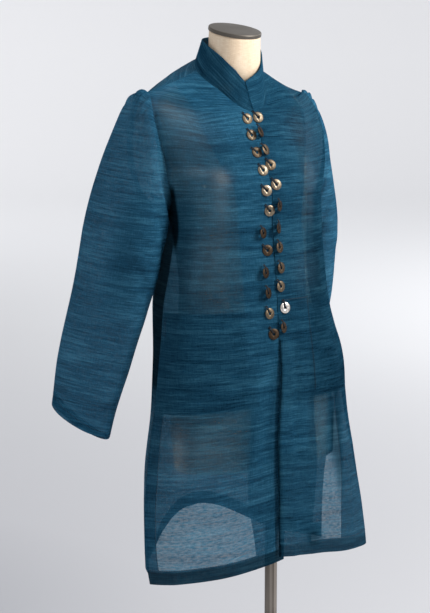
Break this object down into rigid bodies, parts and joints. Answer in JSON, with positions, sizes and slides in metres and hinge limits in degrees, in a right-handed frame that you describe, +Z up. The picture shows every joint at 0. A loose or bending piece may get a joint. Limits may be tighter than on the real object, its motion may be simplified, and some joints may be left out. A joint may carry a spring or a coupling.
{
  "type": "tibetan coat on a dress form",
  "caption": "Long sheer silk coat with a stand collar, wide sleeves and side slits, closed by rows of flat metal discs, on a limbless linen dress form with a round base.",
  "frame": {"origin": "centre of the base's underside, on the axis of the pole", "axes": "+Z up, -Y towards the front of the coat, +X towards the wearer's left"},
  "size_m": [0.6262, 0.5084, 1.5437],
  "materials": {
    "silk": "sheer slubbed silk",
    "silk_fold": "sheer slubbed silk",
    "disc_metal": "aged, dull",
    "linen": "matte plain weave",
    "cap_metal": "dark bronze, satin",
    "pole_metal": "dark bronze, satin",
    "base_metal": "dark, satin"
  },
  "bodies": {
    "root": {"front_right": "silk", "sleeve_right": "silk", "front_facing_right": "silk_fold", "hem_turn_up_right": "silk_fold", "slit_facing_right": "silk_fold", "pocket_bag_right": "silk_fold", "cuff_turn_up_right": "silk_fold", "front_left": "silk", "sleeve_left": "silk", "front_facing_left": "silk_fold", "hem_turn_up_left": "silk_fold", "slit_facing_left": "silk_fold", "pocket_bag_left": "silk_fold", "cuff_turn_up_left": "silk_fold", "back": "silk", "collar": "silk", "hem_turn_up_back": "silk_fold", "disc_right_01": "disc_metal", "disc_right_02": "disc_metal", "disc_right_03": "disc_metal", "disc_right_04": "disc_metal", "disc_right_05": "disc_metal", "disc_right_06": "disc_metal", "disc_right_07": "disc_metal", "disc_right_08": "disc_metal", "disc_right_09": "disc_metal", "disc_right_10": "disc_metal", "disc_right_11": "disc_metal", "disc_right_12": "disc_metal", "disc_left_01": "disc_metal", "disc_left_02": "disc_metal", "disc_left_03": "disc_metal", "disc_left_04": "disc_metal", "disc_left_05": "disc_metal", "disc_left_06": "disc_metal", "disc_left_07": "disc_metal", "disc_left_08": "disc_metal", "disc_left_09": "disc_metal", "disc_left_10": "disc_metal", "disc_left_11": "disc_metal", "disc_left_12": "disc_metal", "form_torso": "linen", "neck_cap": "cap_metal", "pole_socket": "pole_metal", "pole": "pole_metal", "pole_collar": "pole_metal", "base": "base_metal"}
  },
  "joints": []
}
